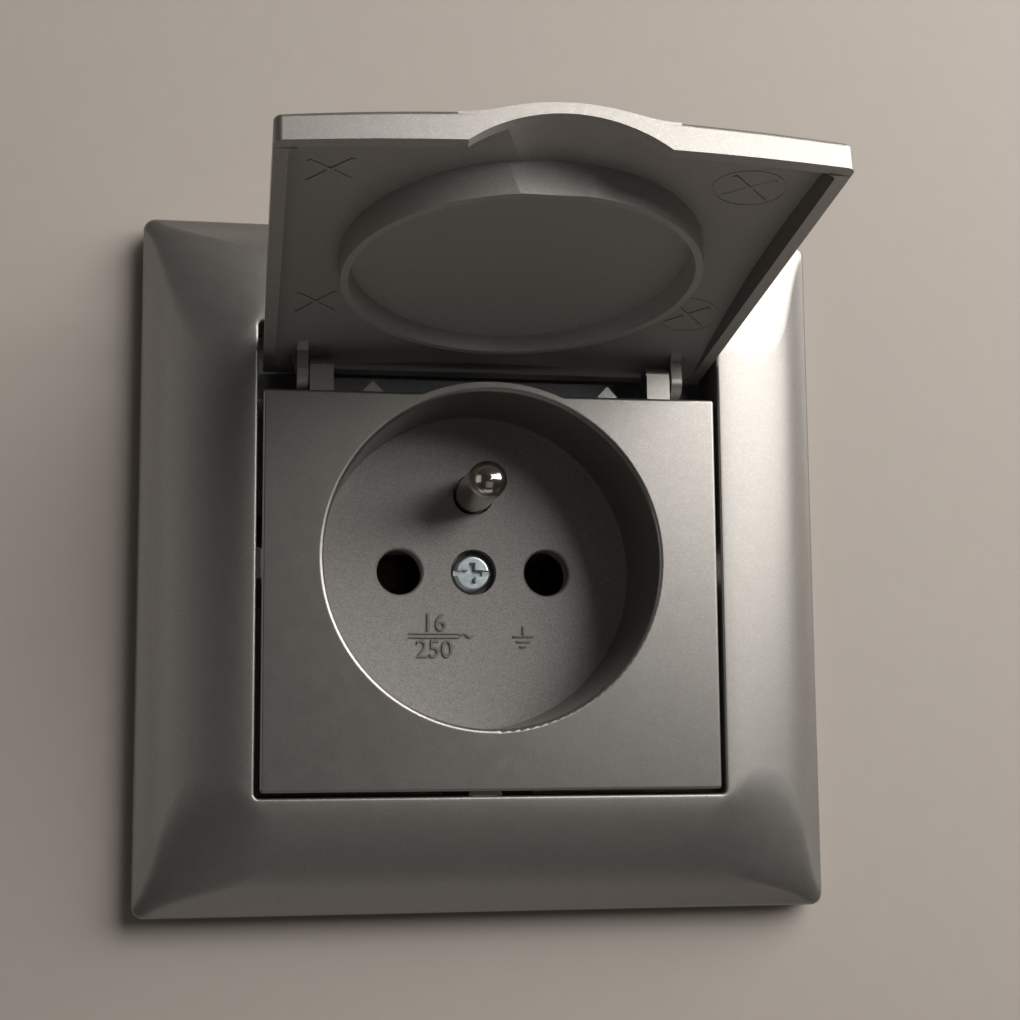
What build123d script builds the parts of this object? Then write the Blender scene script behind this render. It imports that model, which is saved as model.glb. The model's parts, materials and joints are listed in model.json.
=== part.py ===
from build123d import *
import os
from math import asin, cos, hypot, radians, degrees, sin, sqrt

# Earthed wall socket with a hinged lid, in millimetres.
# +Z is up and the front faces -Y. The origin is on the socket's axis, in the wall plane.
# A height is measured from the wall towards the viewer, and a depth into the wall.

# Frame
frame_width = 83.0
frame_corner_radius = 1.4
frame_side_height = 2.4
frame_edge_radius = 0.8
frame_wall = 1.8
lip_height = 8.6
lip_radius = 0.3
lip_flat = 0.5
opening_corner_radius = 0.6
lip_tilt = 4.5
mitre_softness = 8.0
crown_levels = 5
collar_wall = 1.4
ledge_width = 2.2
ledge_thickness = 1.6

# Cover plate
cover_width = 54.2
cover_gap = 0.6
cover_front = 8.9
cover_thickness = 1.8
cover_corner_radius = 0.4
cover_edge_radius = 0.35
skirt_wall = 1.4
rib_thickness = 1.2

# Plug recess
recess_radius = 20.0
recess_depth = 16.5
recess_wall = 1.1
recess_floor = 2.0
recess_rim_radius = 0.5
pin_spacing = 19.0
pin_hole_radius = 2.92
pin_hole_chamfer = 0.22
earth_pin_offset = 10.0
earth_pin_radius = 2.4
earth_pin_length = 14.0
earth_hole_clearance = 0.25

# Centre screw
screw_radius = 1.7
screw_hole_clearance = 0.25
screw_head_radius = 2.45
screw_head_height = 1.6
screw_head_sink = 1.1
screw_head_round = 0.5
screw_length = 12.5
screw_well_clearance = 0.5
screw_boss_wall = 2.05
screw_boss_floor = 1.6
slot_width = 0.7
slot_depth = 0.6
cross_length = 2.7
cross_width = 0.85
cross_depth = 1.1

# Lid
lid_gap = 0.1
lid_edge_height = 2.7
lid_crown = 1.5
lid_length_radius = 200.0
lid_apex = 30.0
lid_plate = 1.1
lid_wall = 1.4
lid_roll_radius = 4.9
lid_bar = 2.1
lid_corner_radius = 0.8
lid_edge_radius = 0.5
lid_margin = 2.0
lid_ring_draft = 4.0
lid_ring_gap = 0.6
lid_ring_wall = 0.8
lid_ring_recess = 0.3
lid_rim_arch = 1.2
lip_swell_height = 1.2
lip_swell_radius = 10.5
lip_swell_root = 0.6
lip_swell_edge = 0.3
notch_width = 19.1
notch_rise = 3.2
notch_length = 8.0
notch_taper = 2.0
lid_open_angle = 99.5

# Hinge
hinge_inset = 0.4
hinge_edge_gap = 0.3
lug_radius = 1.9
lug_inset = 8.2
lug_width = 2.8
lug_setback = 0.3
lug_groove_rise = 0.8
lug_groove_width = 0.4
lug_groove_depth = 0.25
arm_gap = 0.2
arm_width = 1.3
arm_reach = 12.0
arm_sweep = 1.3
arm_clearance = 0.3
peg_radius = 0.8
peg_length = 2.4
peg_clearance = 0.06
rim_relief = 0.5
gusset_width = 1.8
gusset_thickness = 1.0
tooth_offset = 14.2
tooth_width = 3.0
tooth_rise = 1.6
tooth_height = 4.5
tooth_setback = 1.4

# Mounting bridge
bridge_width = 71.0
bridge_corner_radius = 5.0
bridge_thickness = 1.0
box_screw_spacing = 60.0
box_slot_width = 4.2
box_slot_length = 7.5
box_screw_room = 11.0
box_screw_headroom = 4.0

# Contact carrier and its back
base_width = 46.0
base_corner_radius = 8.0
base_depth = 26.0
base_side_wall = 1.6
cup_clearance = 0.5
shelf_gap = 0.6
shelf_thickness = 2.4
chamber_start = 5.5
chamber_width = 9.2
contact_entry_radius = 3.2
driver_hole_radius = 3.2
core_offset = 11.5
core_width = 8.0
back_thickness = 2.6
back_chamfer = 0.8
wire_hole_radius = 1.6
wire_hole_spacing = 4.4

# Contacts and terminals
sheet = 0.7
contact_width = 6.4
contact_mouth = 3.1
contact_pinch = 2.6
contact_mouth_depth = 0.8
contact_pinch_depth = 4.6
contact_back_gap = 2.0
cage_wall = 0.9
cage_width = 8.8
cage_gap = 0.65
cage_setback = 2.4
cage_web_gap = 0.65
terminal_head_radius = 2.8
terminal_head_height = 1.8
head_gap = 0.2
head_recess = 0.2
clamp_gap = 0.4
thread_clearance = 0.05
spring_sheet = 0.4
spring_gap = 0.05
spring_back_gap = 2.8
nut_radius = 2.8
nut_length = 8.0
nut_clearance = 0.02
nut_setback = 0.3
pin_nose_radius = 2.4
pin_neck_radius = 2.0
pin_shoulder_rise = 0.2
pin_seat_clearance = 0.1
pin_collar_radius = 3.4
pin_collar = 0.8
pin_rivet_radius = 1.3
pin_rivet_head_radius = 2.0
pin_rivet_head = 0.6
strap_margin = 3.2

# Fixing screws
fixing_margin = 4.1
fixing_radius = 1.4
fixing_clearance = 0.05
fixing_length = 8.0
fixing_head_radius = 2.4
fixing_head_height = 1.2

# Sizes that follow from the ones above
half_cover = cover_width / 2
half_opening = half_cover + cover_gap
half_frame = frame_width / 2
floor_depth = recess_depth - cover_front
cup_back = floor_depth + recess_floor
cup_radius = recess_radius + recess_wall
well_radius = screw_head_radius + screw_well_clearance
well_depth = screw_head_sink + screw_head_height
boss_back = floor_depth + well_depth + screw_boss_floor
boss_radius = well_radius + screw_boss_wall
pin_offset = pin_spacing / 2
ledge_height = bridge_thickness + ledge_thickness
hinge_height = cover_front - lug_radius
hinge_axis = half_cover - lid_roll_radius - hinge_inset
hinge_edge = hinge_axis - lug_radius - hinge_edge_gap
lug_start = half_cover - lug_inset
lid_ring_radius = recess_radius - lid_ring_gap
lid_rim = lug_radius + lid_gap
lid_free = -half_cover - hinge_axis
lid_free_height = lid_rim + lid_edge_height + lid_crown
lid_fall = lid_length_radius - sqrt(lid_length_radius**2 - (lid_free + lid_apex) ** 2)
lid_centre = lid_free_height + lid_fall - lid_length_radius
lid_centre_floor = lid_length_radius - lid_free_height - half_cover
arm_start = lug_start + lug_width + arm_gap
shelf_front = cup_back + shelf_gap
shelf_back = shelf_front + shelf_thickness
half_base = base_width / 2
chamber_end = half_base - base_side_wall
cage_start = pin_offset + contact_mouth + sheet / 2 + cage_gap
cage_end = half_base - head_recess - terminal_head_height - head_gap
cage_reach = cage_end - cage_start
cage_centre = (cage_start + cage_end) / 2
terminal_screw_length = cage_reach + head_gap - cage_wall - sheet - clamp_gap
tab_place = cage_start + cage_wall + sheet / 2
web_depth = base_depth - contact_back_gap
pinch_depth = shelf_back + contact_pinch_depth
spring_length = web_depth - spring_back_gap - pinch_depth
cage_front = shelf_back + cage_setback
cage_back = web_depth - sheet / 2 - cage_web_gap
cage_length = cage_back - cage_front
screw_line = (cage_front + cage_back) / 2
fixing_offset = (cup_radius + fixing_margin) / sqrt(2)
strap_front = shelf_back + pin_collar

# Directions from the axis to the three terminals
line_side = Vector(-1, 0, 0)
neutral_side = Vector(1, 0, 0)
earth_side = Vector(0, 0, 1)
into_wall = Vector(0, 1, 0)
terminal_sides = (line_side, neutral_side, earth_side)


def front_plane(height):
    """Plane parallel to the wall, at a height towards the viewer."""
    return Plane.XZ.offset(height)


def depth_plane(side, depth):
    """Plane parallel to the wall, at a depth, with its x towards a terminal."""
    return Plane(origin=into_wall * depth, x_dir=side, z_dir=into_wall)


def plan_plane(side):
    """Plane through the axis, with its x towards a terminal and its y into the wall."""
    return Plane(origin=(0, 0, 0), x_dir=side, z_dir=side.cross(into_wall))


def side_plane(side, distance):
    """Plane facing a terminal's side, at a distance from the axis."""
    return Plane(origin=side * distance, x_dir=into_wall, z_dir=side)


# The crown of the frame is one arc, from the lip down to the top of the upright side.
crown_start = half_opening + lip_flat
crown_run = half_frame - crown_start
crown_fall = lip_height - frame_side_height
crown_chord = hypot(crown_run, crown_fall)
crown_radius = crown_chord / (2 * sin(asin(crown_fall / crown_chord) - radians(lip_tilt)))
crown_offset = sqrt(crown_radius**2 - (crown_chord / 2) ** 2)
crown_x = crown_start + crown_run / 2 - crown_offset * crown_fall / crown_chord
crown_y = lip_height - crown_fall / 2 - crown_offset * crown_run / crown_chord


def crown_height(place, radius):
    """Height of an arc about the crown's centre, at a distance from the middle of the frame."""
    return crown_y + sqrt(radius**2 - (place - crown_x) ** 2)


# Hollow of the frame: an even wall under the crown, left solid at the collar
hollow_radius = crown_radius - frame_wall
hollow_end = half_frame - frame_wall
hollow_start = half_opening + collar_wall
hollow_middle = (hollow_start + hollow_end) / 2

with BuildPart() as frame_hollow:
    for section_x, section_normal, way in (
        ((0, 0, 1), (1, 0, 0), Mode.ADD),
        ((1, 0, 0), (0, 0, -1), Mode.INTERSECT),
    ):
        with BuildSketch(Plane(origin=(0, 0, 0), x_dir=section_x, z_dir=section_normal)):
            with BuildLine():
                arc = ThreePointArc(
                    (hollow_start, crown_height(hollow_start, hollow_radius)),
                    (hollow_middle, crown_height(hollow_middle, hollow_radius)),
                    (hollow_end, crown_height(hollow_end, hollow_radius)),
                )
                Line((0, crown_height(hollow_start, hollow_radius)), arc @ 0)
                Polyline(arc @ 1, (hollow_end, 0), (0, 0))
                mirror(about=Plane.YZ)
            make_face()
        extrude(amount=hollow_end, both=True, mode=way)
    with BuildSketch(front_plane(0)):
        Rectangle(2 * hollow_start, 2 * hollow_start)
    extrude(amount=lip_height, mode=Mode.SUBTRACT)

# Frame: the crown is lofted through squares whose corners are softest half way up
with BuildPart() as frame:
    with BuildSketch(front_plane(0)):
        RectangleRounded(frame_width, frame_width, frame_corner_radius)
    extrude(amount=frame_side_height)
    for level in range(crown_levels):
        share = level / (crown_levels - 1)
        place = half_frame - crown_run * share
        corner = frame_corner_radius + (opening_corner_radius + lip_flat - frame_corner_radius) * share
        corner += mitre_softness * sin(radians(180 * share))
        with BuildSketch(front_plane(crown_height(place, crown_radius))):
            RectangleRounded(2 * place, 2 * place, corner)
    loft()
    side_top = frame.edges().filter_by_position(Axis.Y, -frame_side_height, -frame_side_height)
    fillet(side_top, frame_edge_radius)
    with BuildSketch(front_plane(ledge_height)):
        RectangleRounded(2 * half_opening, 2 * half_opening, opening_corner_radius)
    extrude(amount=lip_height, mode=Mode.SUBTRACT)
    lip = frame.faces().sort_by(Axis.Y)[0].inner_wires()[0]
    fillet(lip.edges(), lip_radius)
    with BuildSketch(front_plane(0)):
        Rectangle(2 * (half_opening - ledge_width), 2 * (half_opening - ledge_width))
    extrude(amount=ledge_height, mode=Mode.SUBTRACT)
    with BuildSketch(front_plane(0)):
        Rectangle(2 * hollow_start, 2 * hollow_start)
    extrude(amount=bridge_thickness, mode=Mode.SUBTRACT)
    with BuildSketch(front_plane(0)):
        with Locations((0, (hinge_edge + half_opening) / 2)):
            Rectangle(2 * half_opening, half_opening - hinge_edge)
    extrude(amount=ledge_height, mode=Mode.SUBTRACT)
    add(frame_hollow.part, mode=Mode.SUBTRACT)
    with BuildSketch(front_plane(bridge_thickness)):
        Rectangle(2 * hollow_start, box_screw_room)
        Rectangle(box_screw_room, 2 * hollow_start)
    extrude(amount=box_screw_headroom, mode=Mode.SUBTRACT)


def cross_plane(place):
    """Upright plane across the socket at an x, with its x as height and its y as z."""
    return Plane(origin=(place, 0, 0), x_dir=(0, -1, 0), z_dir=(-1, 0, 0))


# Cover plate: skirted plate with the plug recess, its screw boss, hinge lugs and snap teeth
cover_middle = (hinge_edge - half_cover) / 2
cover_length = hinge_edge + half_cover
plate_back = cover_front - cover_thickness
lug_faces = (-lug_start, lug_start + lug_width)

with BuildPart() as cover_plate:
    with BuildSketch(front_plane(ledge_height)):
        with Locations((0, cover_middle)):
            RectangleRounded(cover_width, cover_length, cover_corner_radius)
    extrude(amount=cover_front - ledge_height)
    with BuildSketch(front_plane(ledge_height)):
        with Locations((0, cover_middle)):
            Rectangle(cover_width - 2 * skirt_wall, cover_length - 2 * skirt_wall)
    extrude(amount=plate_back - ledge_height, mode=Mode.SUBTRACT)
    with BuildSketch(front_plane(ledge_height)):
        Rectangle(cover_width, rib_thickness)
        with Locations((0, -half_cover / 2)):
            Rectangle(rib_thickness, half_cover)
    extrude(amount=plate_back - ledge_height)
    front_edges = cover_plate.edges().filter_by_position(Axis.Y, -cover_front, -cover_front)
    fillet(front_edges, cover_edge_radius)
    with BuildSketch(front_plane(-cup_back)):
        Circle(cup_radius)
    extrude(amount=cover_front + cup_back)
    with BuildSketch(front_plane(-boss_back)):
        Circle(boss_radius)
    extrude(amount=boss_back - cup_back)
    with BuildSketch(front_plane(-floor_depth)):
        Circle(recess_radius)
    extrude(amount=recess_depth, mode=Mode.SUBTRACT)
    rim = cover_plate.edges().filter_by(GeomType.CIRCLE).filter_by(
        lambda edge: abs(edge.radius - recess_radius) < recess_rim_radius
    )
    fillet(rim.sort_by(Axis.Y)[0], recess_rim_radius)
    with BuildSketch(front_plane(-cup_back)):
        with Locations((-pin_offset, 0), (pin_offset, 0)):
            Circle(pin_hole_radius)
        with Locations((0, earth_pin_offset)):
            Circle(earth_pin_radius + earth_hole_clearance)
    extrude(amount=recess_floor, mode=Mode.SUBTRACT)
    mouths = cover_plate.edges().filter_by(GeomType.CIRCLE).filter_by(
        lambda edge: abs(edge.radius - pin_hole_radius) < pin_hole_chamfer
    )
    chamfer(mouths.group_by(Axis.Y)[0], pin_hole_chamfer)
    with BuildSketch(front_plane(-floor_depth - well_depth)):
        Circle(well_radius)
    extrude(amount=well_depth, mode=Mode.SUBTRACT)
    with BuildSketch(front_plane(-boss_back)):
        Circle(screw_radius + screw_hole_clearance)
    extrude(amount=screw_boss_floor, mode=Mode.SUBTRACT)
    for face in lug_faces:
        with BuildSketch(cross_plane(face)):
            with Locations((hinge_height, hinge_axis)):
                Circle(lug_radius)
            with Locations((hinge_height, (hinge_axis + hinge_edge - skirt_wall) / 2)):
                Rectangle(2 * lug_radius, hinge_axis - hinge_edge + skirt_wall)
            with Locations((cover_front, hinge_axis)):
                Rectangle(2 * lug_setback, 2 * (hinge_axis - hinge_edge + skirt_wall), mode=Mode.SUBTRACT)
            with Locations((hinge_height, hinge_axis)):
                Circle(peg_radius + peg_clearance, mode=Mode.SUBTRACT)
        extrude(amount=lug_width)
        with BuildSketch(cross_plane(face)):
            with Locations((cover_front - lug_setback, hinge_axis + lug_groove_rise)):
                Rectangle(2 * lug_groove_depth, lug_groove_width)
        extrude(amount=lug_width, mode=Mode.SUBTRACT)
    with BuildSketch(front_plane(cover_front - tooth_setback)):
        for place in (-tooth_offset, tooth_offset):
            with BuildLine():
                Polyline(
                    (place - tooth_width / 2, hinge_edge - skirt_wall),
                    (place - tooth_width / 2, hinge_edge),
                    (place, hinge_edge + tooth_rise),
                    (place + tooth_width / 2, hinge_edge),
                    (place + tooth_width / 2, hinge_edge - skirt_wall),
                    close=True,
                )
            make_face()
    extrude(amount=-tooth_height)
    with BuildSketch(front_plane(ledge_height)):
        for way in (-1, 1):
            with Locations((way * (half_cover - skirt_wall / 2), 0)):
                Rectangle(skirt_wall, box_screw_room)
        with Locations((0, skirt_wall / 2 - half_cover)):
            Rectangle(box_screw_room, skirt_wall)
    extrude(amount=bridge_thickness + box_screw_headroom - ledge_height, mode=Mode.SUBTRACT)

# The lid is drawn about its hinge axis: x across, up along it and out through its face.
lid_turn = radians(lid_open_angle)
lid_out = Vector(0, -cos(lid_turn), sin(lid_turn))
lid_up = Vector(0, sin(lid_turn), cos(lid_turn))
across = Vector(1, 0, 0)
hinge_point = Vector(0, -hinge_height, hinge_axis)
lid_plane = Plane(origin=hinge_point, x_dir=across, z_dir=lid_out)
lid_front = Plane(origin=hinge_point + lid_up * lid_free, x_dir=-across, z_dir=lid_up)


def lid_side(place):
    """Plane across the hinge axis at an x, with its x out through the lid and its y along it."""
    return Plane(origin=hinge_point + across * place, x_dir=lid_out, z_dir=-across)


def lid_block(cut, inset, hinge_end, floor):
    """Block under the lid's crowned face, lowered by a cut, inset at the walls, above a floor."""
    radius = lid_length_radius - cut
    free_lean = asin((lid_margin - lid_free - lid_apex) / radius)
    hinge_lean = asin((lid_margin + hinge_end + lid_apex) / radius)
    centre = hinge_point - lid_up * lid_apex + lid_out * lid_centre
    free_normal = -lid_up * cos(free_lean) - lid_out * sin(free_lean)
    with BuildPart() as block:
        with BuildSketch(Plane(origin=centre, x_dir=across, z_dir=free_normal)):
            with BuildLine():
                arc = ThreePointArc(
                    (-half_cover, radius - lid_crown),
                    (0, radius),
                    (half_cover, radius - lid_crown),
                )
                Polyline(
                    arc @ 1,
                    (half_cover, lid_centre_floor),
                    (-half_cover, lid_centre_floor),
                    arc @ 0,
                )
            make_face()
        revolve(axis=Axis(centre, -across), revolution_arc=degrees(free_lean + hinge_lean))
        with BuildSketch(lid_plane.offset(floor)):
            with Locations((0, (lid_free + inset + hinge_end) / 2)):
                RectangleRounded(cover_width - 2 * inset, hinge_end - lid_free - inset, lid_corner_radius)
        extrude(amount=lid_length_radius, mode=Mode.INTERSECT)
    return block


# Hollow of the lid, with the ring left standing in it
ring_tip = lid_rim + lid_ring_recess
tray_space = lid_block(lid_plate, lid_wall, lid_roll_radius - lid_bar, 0)

with BuildPart() as lid_hollow:
    add(tray_space.part)
    with BuildSketch(lid_plane.offset(ring_tip)):
        with Locations((0, -hinge_axis)):
            Circle(lid_ring_radius)
            Circle(lid_ring_radius - lid_ring_wall, mode=Mode.SUBTRACT)
    extrude(amount=lid_free_height, taper=-lid_ring_draft, mode=Mode.SUBTRACT)

# Hinge arms: curved fins from the pegs to the lid's plate, each with a gusset outboard
arm_end = arm_start + arm_width
arm_faces = (-arm_start, arm_end)
peg_faces = (peg_length - arm_start, arm_end)
arm_space = lid_block(lid_plate / 2, 0, lid_roll_radius, -lug_radius)

with BuildPart() as lid_arms:
    for face in arm_faces:
        with BuildSketch(lid_side(face)):
            with BuildLine():
                root = Polyline(
                    (lid_free_height, -arm_reach),
                    (lid_free_height, lug_radius),
                    (0, lug_radius),
                )
                foot = Line((0, -lug_radius), (lid_rim + arm_clearance, -lug_radius))
                ThreePointArc(root @ 1, (-lug_radius, 0), foot @ 0)
                SagittaArc(foot @ 1, root @ 0, arm_sweep)
            make_face()
        extrude(amount=arm_width)
    with BuildSketch(lid_front.offset(-lid_free)):
        for way in (-1, 1):
            with BuildLine():
                Polyline(
                    (way * arm_end, 0),
                    (way * (arm_end + gusset_width), lid_free_height),
                    (way * arm_end, lid_free_height),
                    close=True,
                )
            make_face()
    extrude(amount=gusset_thickness)
    add(arm_space.part, mode=Mode.INTERSECT)

# Lid: crowned tray, rolled about the axis at the hinge, with a swollen and notched finger lip
notch_radius = ((notch_width / 2) ** 2 + notch_rise**2) / (2 * notch_rise)
notch_foot = lid_rim + lid_rim_arch * (1 - (notch_width / cover_width) ** 2)
lid_top = lid_free_height + lid_fall
swell_crest = lid_free_height + lip_swell_height
swell_foot = lid_free_height - lip_swell_root
swell_edge = lid_free_height - lip_swell_edge
lid_body = lid_block(0, 0, lid_roll_radius, lid_rim)

with BuildPart() as lid:
    add(lid_body.part)
    crown_face = lid.faces().sort_by(Axis(hinge_point, lid_out))[-1]
    fillet(crown_face.edges(), lid_edge_radius)
    with BuildSketch(lid_side(half_cover)):
        Circle(lid_roll_radius)
        with Locations((0, lid_free / 2)):
            Rectangle(2 * (lid_top + lid_margin), -lid_free)
    extrude(amount=cover_width, mode=Mode.INTERSECT)
    with BuildSketch(Plane(origin=lid_front.origin, x_dir=across, z_dir=-lid_up)):
        with BuildLine():
            swell = Spline(
                (0, swell_crest),
                (lip_swell_radius / 2, (swell_crest + lid_free_height) / 2),
                (lip_swell_radius, swell_edge),
                tangents=((1, 0), (1, 0)),
            )
            Polyline(swell @ 1, (lip_swell_radius, swell_foot), (0, swell_foot), swell @ 0)
        make_face()
    revolve(axis=Axis(lid_front.origin, lid_out), revolution_arc=180)
    add(lid_hollow.part, mode=Mode.SUBTRACT)
    with BuildSketch(lid_front):
        with BuildLine():
            rim_line = Line((-half_cover, lid_rim), (half_cover, lid_rim))
            ThreePointArc(rim_line @ 0, (0, lid_rim + lid_rim_arch), rim_line @ 1)
        make_face()
    extrude(amount=lid_wall, mode=Mode.SUBTRACT)
    with BuildSketch(lid_front):
        with Locations((0, notch_foot + notch_rise - notch_radius)):
            Circle(notch_radius)
        Rectangle(cover_width, 2 * lid_rim, mode=Mode.SUBTRACT)
    extrude(amount=notch_length, taper=notch_taper, mode=Mode.SUBTRACT)
    with BuildSketch(front_plane(0)):
        Circle(cup_radius + rim_relief)
    extrude(amount=cover_front, mode=Mode.SUBTRACT)
    add(lid_arms.part)
    for face in peg_faces:
        with BuildSketch(lid_side(face)):
            Circle(peg_radius)
        extrude(amount=peg_length + arm_width)

# Mounting bridge: stamped plate with a round window, box-screw slots and fixing holes
with BuildPart() as mounting_bridge:
    with BuildSketch(front_plane(0)):
        RectangleRounded(bridge_width, bridge_width, bridge_corner_radius)
        Circle(cup_radius + cup_clearance, mode=Mode.SUBTRACT)
        with Locations((-box_screw_spacing / 2, 0), (box_screw_spacing / 2, 0)):
            SlotOverall(box_slot_length, box_slot_width, mode=Mode.SUBTRACT)
        with Locations((0, -box_screw_spacing / 2), (0, box_screw_spacing / 2)):
            SlotOverall(box_slot_length, box_slot_width, rotation=90, mode=Mode.SUBTRACT)
        with GridLocations(2 * fixing_offset, 2 * fixing_offset, 2, 2):
            Circle(fixing_radius + fixing_clearance, mode=Mode.SUBTRACT)
    extrude(amount=bridge_thickness)

# Contact carrier: a cup round the recess, a shelf behind it and three contact chambers
with BuildPart() as socket_base:
    with BuildSketch(depth_plane(neutral_side, 0)):
        RectangleRounded(base_width, base_width, base_corner_radius)
    extrude(amount=base_depth)
    with BuildSketch(depth_plane(neutral_side, 0)):
        Circle(cup_radius + cup_clearance)
    extrude(amount=shelf_front, mode=Mode.SUBTRACT)
    with BuildSketch(depth_plane(neutral_side, 0)):
        Circle(boss_radius + cup_clearance)
    extrude(amount=boss_back, mode=Mode.SUBTRACT)
    with BuildSketch(depth_plane(neutral_side, boss_back)):
        Circle(nut_radius + nut_clearance)
    extrude(amount=nut_setback + nut_length, mode=Mode.SUBTRACT)
    with BuildSketch(depth_plane(neutral_side, boss_back)):
        Circle(screw_radius + screw_hole_clearance)
    extrude(amount=screw_length, mode=Mode.SUBTRACT)
    for side in terminal_sides:
        with BuildSketch(depth_plane(side, shelf_back)):
            with Locations(((chamber_start + chamber_end) / 2, 0)):
                Rectangle(chamber_end - chamber_start, chamber_width)
        extrude(amount=base_depth - shelf_back, mode=Mode.SUBTRACT)
        with BuildSketch(side_plane(side, chamber_end)):
            with Locations((screw_line, 0)):
                Circle(driver_hole_radius)
        extrude(amount=base_side_wall, mode=Mode.SUBTRACT)
    with BuildSketch(front_plane(-shelf_back)):
        with Locations((-pin_offset, 0), (pin_offset, 0)):
            Circle(contact_entry_radius)
        with Locations((0, earth_pin_offset)):
            Circle(pin_neck_radius + pin_seat_clearance)
    extrude(amount=shelf_thickness, mode=Mode.SUBTRACT)
    with BuildSketch(depth_plane(neutral_side, shelf_back)):
        with GridLocations(2 * core_offset, 2 * core_offset, 2, 2):
            Rectangle(core_width, core_width)
    extrude(amount=base_depth - shelf_back, mode=Mode.SUBTRACT)
    with BuildSketch(depth_plane(neutral_side, 0)):
        with GridLocations(2 * fixing_offset, 2 * fixing_offset, 2, 2):
            Circle(fixing_radius + fixing_clearance)
    extrude(amount=base_depth, mode=Mode.SUBTRACT)

# Rear cover: closes the chambers, with two wire entries behind each terminal
with BuildPart() as rear_cover:
    with BuildSketch(depth_plane(neutral_side, base_depth)):
        RectangleRounded(base_width, base_width, base_corner_radius)
        with GridLocations(2 * fixing_offset, 2 * fixing_offset, 2, 2):
            Circle(fixing_radius + fixing_clearance, mode=Mode.SUBTRACT)
    extrude(amount=back_thickness)
    rim = rear_cover.faces().sort_by(Axis.Y)[-1].outer_wire().edges()
    chamfer(rim, back_chamfer)
    for side in terminal_sides:
        with BuildSketch(depth_plane(side, base_depth)):
            with Locations((cage_centre, 0)):
                with GridLocations(0, wire_hole_spacing, 1, 2):
                    Circle(wire_hole_radius)
        extrude(amount=back_thickness, mode=Mode.SUBTRACT)


# Line and neutral contacts: two sprung leaves on a web, with a tab into the terminal cage
def contact(side):
    """Contact of one pin, folded from one strip."""
    mouth_depth = shelf_back + contact_mouth_depth
    with BuildPart() as piece:
        with BuildSketch(plan_plane(side)):
            with BuildLine():
                for way in (-1, 1):
                    leaf_line = pin_offset + way * contact_pinch
                    leaf = Line((leaf_line, web_depth), (leaf_line, pinch_depth))
                    TangentArc(leaf @ 1, (pin_offset + way * contact_mouth, mouth_depth), tangent=leaf % 1)
                Polyline(
                    (pin_offset - contact_pinch, web_depth),
                    (tab_place, web_depth),
                    (tab_place, cage_front),
                )
            trace(line_width=sheet)
        extrude(amount=contact_width / 2, both=True)
    return piece


line_contact = contact(line_side)
neutral_contact = contact(neutral_side)


# Backing clips: each bridges over a contact and presses both leaves
def contact_spring(side):
    """Steel clip round the leaves of one contact."""
    arm_line = contact_pinch + (sheet + spring_sheet) / 2 + spring_gap
    bridge_line = (contact_width + spring_sheet) / 2 + spring_gap
    with BuildPart() as piece:
        with BuildSketch(depth_plane(side, pinch_depth)):
            with BuildLine():
                Polyline(
                    (pin_offset - arm_line, -contact_width / 2),
                    (pin_offset - arm_line, bridge_line),
                    (pin_offset + arm_line, bridge_line),
                    (pin_offset + arm_line, -contact_width / 2),
                )
            trace(line_width=spring_sheet)
        extrude(amount=spring_length)
    return piece


line_contact_spring = contact_spring(line_side)
neutral_contact_spring = contact_spring(neutral_side)


# Terminal cages: square tubes, each with a tapped hole towards its screw
def terminal(side):
    """Clamp cage of one terminal."""
    with BuildPart() as piece:
        with BuildSketch(depth_plane(side, cage_front)):
            with Locations((cage_centre, 0)):
                Rectangle(cage_reach, cage_width)
                Rectangle(cage_reach - 2 * cage_wall, cage_width - 2 * cage_wall, mode=Mode.SUBTRACT)
        extrude(amount=cage_length)
        with BuildSketch(side_plane(side, cage_centre)):
            with Locations((screw_line, 0)):
                Circle(screw_radius + thread_clearance)
        extrude(amount=cage_reach, mode=Mode.SUBTRACT)
    return piece


line_terminal = terminal(line_side)
neutral_terminal = terminal(neutral_side)
earth_terminal = terminal(earth_side)

# Terminal screws: slotted, with the heads in the driver holes
with BuildPart() as terminal_screws:
    for side in terminal_sides:
        with BuildSketch(side_plane(side, cage_end + head_gap)):
            with Locations((screw_line, 0)):
                Circle(terminal_head_radius)
        extrude(amount=terminal_head_height)
        with BuildSketch(side_plane(side, cage_end + head_gap - terminal_screw_length)):
            with Locations((screw_line, 0)):
                Circle(screw_radius)
        extrude(amount=terminal_screw_length)
        with BuildSketch(side_plane(side, cage_end + head_gap + terminal_head_height - slot_depth)):
            with Locations((screw_line, 0)):
                Rectangle(2 * terminal_head_radius, slot_width)
        extrude(amount=slot_depth, mode=Mode.SUBTRACT)

# Earth pin: turned, with a round tip, a neck held by the shelf, a collar and a riveted tail
pin_tip = floor_depth - earth_pin_length
shoulder_depth = floor_depth - pin_shoulder_rise

with BuildPart() as earth_pin:
    with BuildSketch(Plane(origin=(0, 0, earth_pin_offset), x_dir=into_wall, z_dir=across)):
        with BuildLine():
            nose = Line((pin_tip + pin_nose_radius, earth_pin_radius), (shoulder_depth, earth_pin_radius))
            outline = Polyline(
                nose @ 1,
                (shoulder_depth, pin_neck_radius),
                (shelf_back, pin_neck_radius),
                (shelf_back, pin_collar_radius),
                (strap_front, pin_collar_radius),
                (strap_front, pin_rivet_radius),
                (strap_front + sheet, pin_rivet_radius),
                (strap_front + sheet, pin_rivet_head_radius),
                (strap_front + sheet + pin_rivet_head, pin_rivet_head_radius),
                (strap_front + sheet + pin_rivet_head, 0),
                (pin_tip, 0),
            )
            RadiusArc(outline @ 1, nose @ 0, pin_nose_radius)
        make_face()
    revolve(axis=Axis((0, 0, earth_pin_offset), into_wall))

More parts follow.
